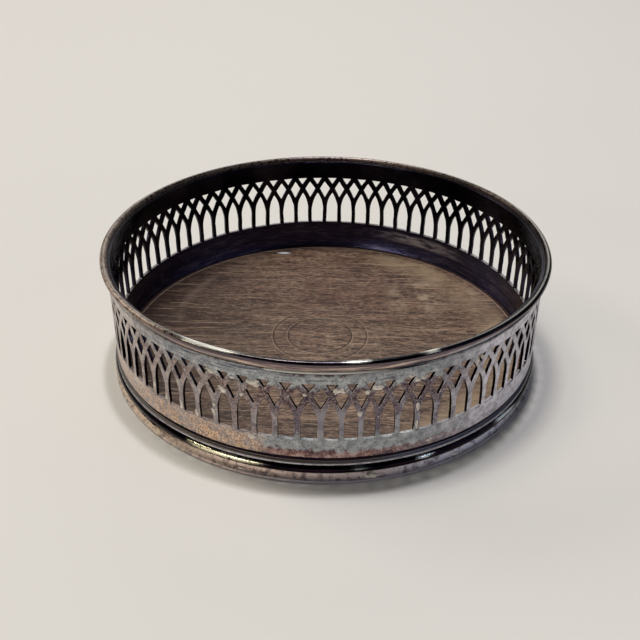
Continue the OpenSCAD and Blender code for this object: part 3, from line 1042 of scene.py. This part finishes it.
def studio():
    """A pale floor under two ceiling lamps, a little behind and to either side, with a window at the left,
    a pale wall behind, two small lamps for the roll's glints, and cards at the front and the right."""
    mesh = bpy.data.meshes.new("floor")
    reach = 3.0
    corners = [(-reach, -reach, 0), (reach, -reach, 0), (reach, reach, 0), (-reach, reach, 0)]
    mesh.from_pydata(corners, [], [(0, 1, 2, 3)])
    floor = bpy.data.objects.new("floor", mesh)
    bpy.context.scene.collection.objects.link(floor)
    finish = bpy.data.materials.new("floor_card")
    finish.use_nodes = True
    card = finish.node_tree.nodes["Principled BSDF"]
    card.inputs["Base Color"].default_value = linear("#E0DDD8")
    card.inputs["Roughness"].default_value = 0.7
    mesh.materials.append(finish)
    world = bpy.data.worlds.new("room")
    world.use_nodes = True
    bpy.context.scene.world = world
    sky = world.node_tree.nodes["Background"]
    sky.inputs["Color"].default_value = linear("#D8DBE4")
    sky.inputs["Strength"].default_value = 0.05
    for name, at, size, power, tint in (
        ("left_ceiling_spot", (-0.37, 0.22, 2.6), 0.4, 23.0, "#FFFAF0"),
        ("right_ceiling_spot", (0.1, 0.22, 2.6), 0.16, 22.0, "#F7F8FF"),
        ("high_left_spot", (-0.8, 0.3, 2.3), 0.6, 4.0, "#FFF8EA"),
        ("left_back_window", (-1.75, 0.8, 1.25), 0.9, 12.0, "#FFF5E6"),
        ("back_wall", (0.2, 2.2, 1.1), 1.8, 8.0, "#FFFDF8"),
        ("left_lamp", (-1.15, -0.55, 0.5), 0.12, 1.0, "#FFF5DC"),
        ("right_lamp", (0.89, -0.71, 0.39), 0.07, 0.37, "#E8F2FF"),
        ("front_card", (-0.9, -1.2, 0.04), 0.6, 7.0, "#FFF9F0"),
        ("right_card", (1.4, -0.3, 0.6), 1.0, 1.7, "#DFE9FF"),
    ):
        lamp = bpy.data.lights.new(name, "AREA")
        lamp.size = size
        lamp.energy = power
        lamp.color = linear(tint)[:3]
        holder = bpy.data.objects.new(name, lamp)
        holder.location = at
        toward = Vector((0, 0, 0.02)) - Vector(at)
        holder.rotation_euler = toward.to_track_quat("-Z", "Y").to_euler()
        bpy.context.scene.collection.objects.link(holder)


# ---- The whole coaster ----

# The wear of the wires, with their highlights painted in: degrees round from the front, and how far it holds
# there; the rubbing is strongest where the lamps' glints fall
RIM_WEAR_AND_GLINTS = (
    (-178, 0.35), (-100, 0.3), (-70, 0.3), (-36, 0.3), (-31, 0.9), (-22, 1), (-18, 0.25), (-13, 0.1),
    (3, 0.06), (5, 0.8), (8, 0.8), (10, 0.08), (20, 0.1), (22, 0.95), (25, 0.3), (60, 0.4), (120, 0.5),
    (141, 1), (156, 1), (168, 0.35),
)
RIM_CAKED = ((-125, 0.3), (-95, 0.85), (-46, 0.85), (-34, 0.15), (-20, 0.0), (70, 0.0), (100, 0.2), (140, 0.2))
# Where the rim's shoulder is painted near-white: painted highlights
RIM_PAINTED_HIGHLIGHTS = (
    (-34, 0), (-31, 1), (-22, 1), (-19, 0), (4, 0), (5, 0.8), (8, 0.8), (9, 0), (21, 0), (22, 0.9),
    (24, 0.9), (25, 0),
)
RIM_FLANKED = ((-60, 0), (-40, 0.5), (-20, 0.5), (-8, 0.8), (20, 0.7), (70, 0.85), (100, 0.2))
BEAD_WEAR_AND_GLINTS = (
    (-90, 0.3), (-40, 0.25), (-16, 0.3), (-12, 0.9), (0, 1), (4, 0.6), (8, 1), (12, 0.6), (16, 0.9),
    (26, 0.7), (36, 0.2), (60, 0.1),
)
BEAD_CAKED = ((-90, 0.8), (-45, 0.9), (-18, 0.9), (-13, 0.0), (20, 0.0), (28, 0.85), (90, 0.8))
# Where the bead's shoulder is painted near-white: painted highlight
BEAD_PAINTED_HIGHLIGHT = ((-14, 0), (-12.5, 0.8), (4, 0.9), (8, 0.7), (12, 0.5), (16, 0))

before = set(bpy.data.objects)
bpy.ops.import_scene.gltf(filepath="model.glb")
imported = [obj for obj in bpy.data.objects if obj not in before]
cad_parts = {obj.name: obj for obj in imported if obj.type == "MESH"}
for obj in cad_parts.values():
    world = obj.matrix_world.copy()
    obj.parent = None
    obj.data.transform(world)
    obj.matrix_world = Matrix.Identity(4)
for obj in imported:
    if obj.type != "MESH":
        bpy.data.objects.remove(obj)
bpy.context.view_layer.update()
set_camera()
bpy.context.scene.view_settings.view_transform = "Standard"
studio()

film = sulphide_film()
gallery([plated_outside("worn_plate", False), film, plated_outside("rubbed_arris", True)])
rim_level, bead_level = BAND_TOP + RIM_RISE, BAND_TOP - FILLET_DROP
rim(wire_finish("rim_wire_plate", "#0B0A14", rim_level + 0.76, rim_level + 0.89, RIM_WEAR_AND_GLINTS,
                RIM_CAKED, "#B09C8E", RIM_PAINTED_HIGHLIGHTS, 0.5, RIM_FLANKED))
fillet_bead(wire_finish("bead_plate", "#10162A", bead_level + 0.16, bead_level + 0.3, BEAD_WEAR_AND_GLINTS,
                        BEAD_CAKED, "#9A9A9C", BEAD_PAINTED_HIGHLIGHT, 0.1))
moulding([moulding_finish(), film])
wooden_base(waxed_wood())
baize(baize_cloth())
dried_polish(chalky_polish())
